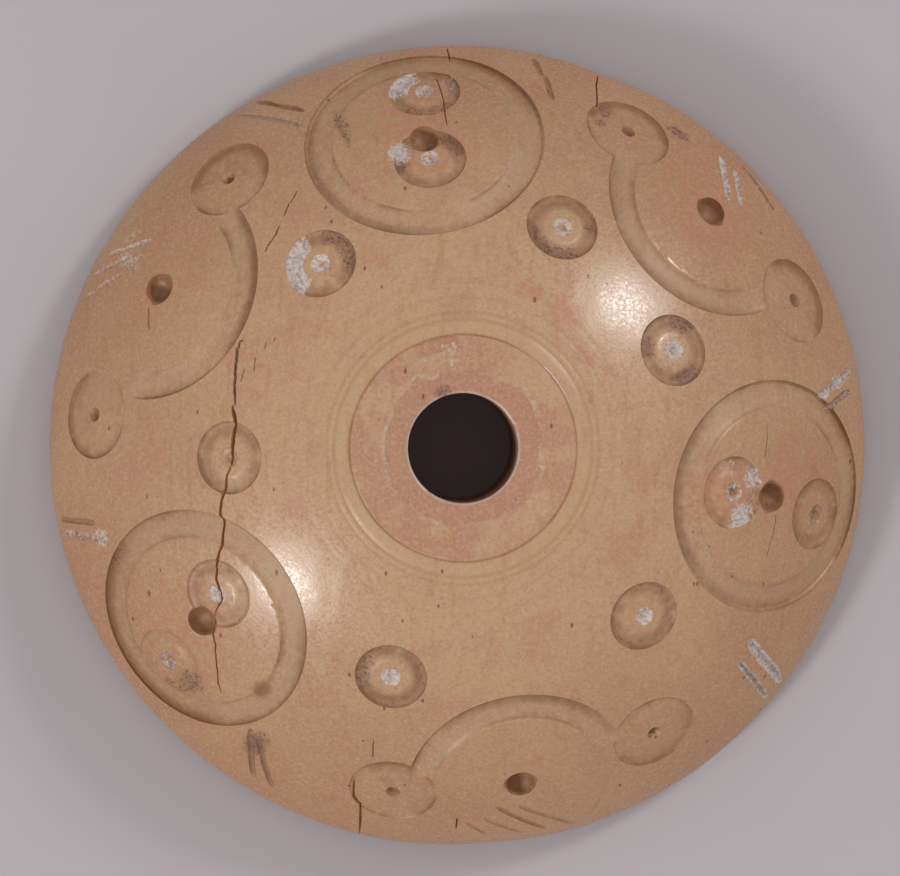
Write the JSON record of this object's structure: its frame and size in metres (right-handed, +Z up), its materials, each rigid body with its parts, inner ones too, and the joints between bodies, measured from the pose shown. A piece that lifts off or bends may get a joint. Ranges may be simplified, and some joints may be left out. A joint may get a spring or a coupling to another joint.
{
  "type": "spindle whorl",
  "caption": "Low domed bone whorl with a central bore for a spindle, carved with compass-drawn rings, ring-and-dots and short strokes.",
  "frame": {"origin": "centre of the bore at the flat underside", "axes": "+Z up along the bore, from the flat underside to the dome; +X along the long diameter"},
  "size_m": [0.038, 0.0373, 0.0115],
  "materials": {
    "bone": "old polished bone, tan with a low sheen"
  },
  "bodies": {
    "root": {"whorl": "bone"}
  },
  "joints": []
}
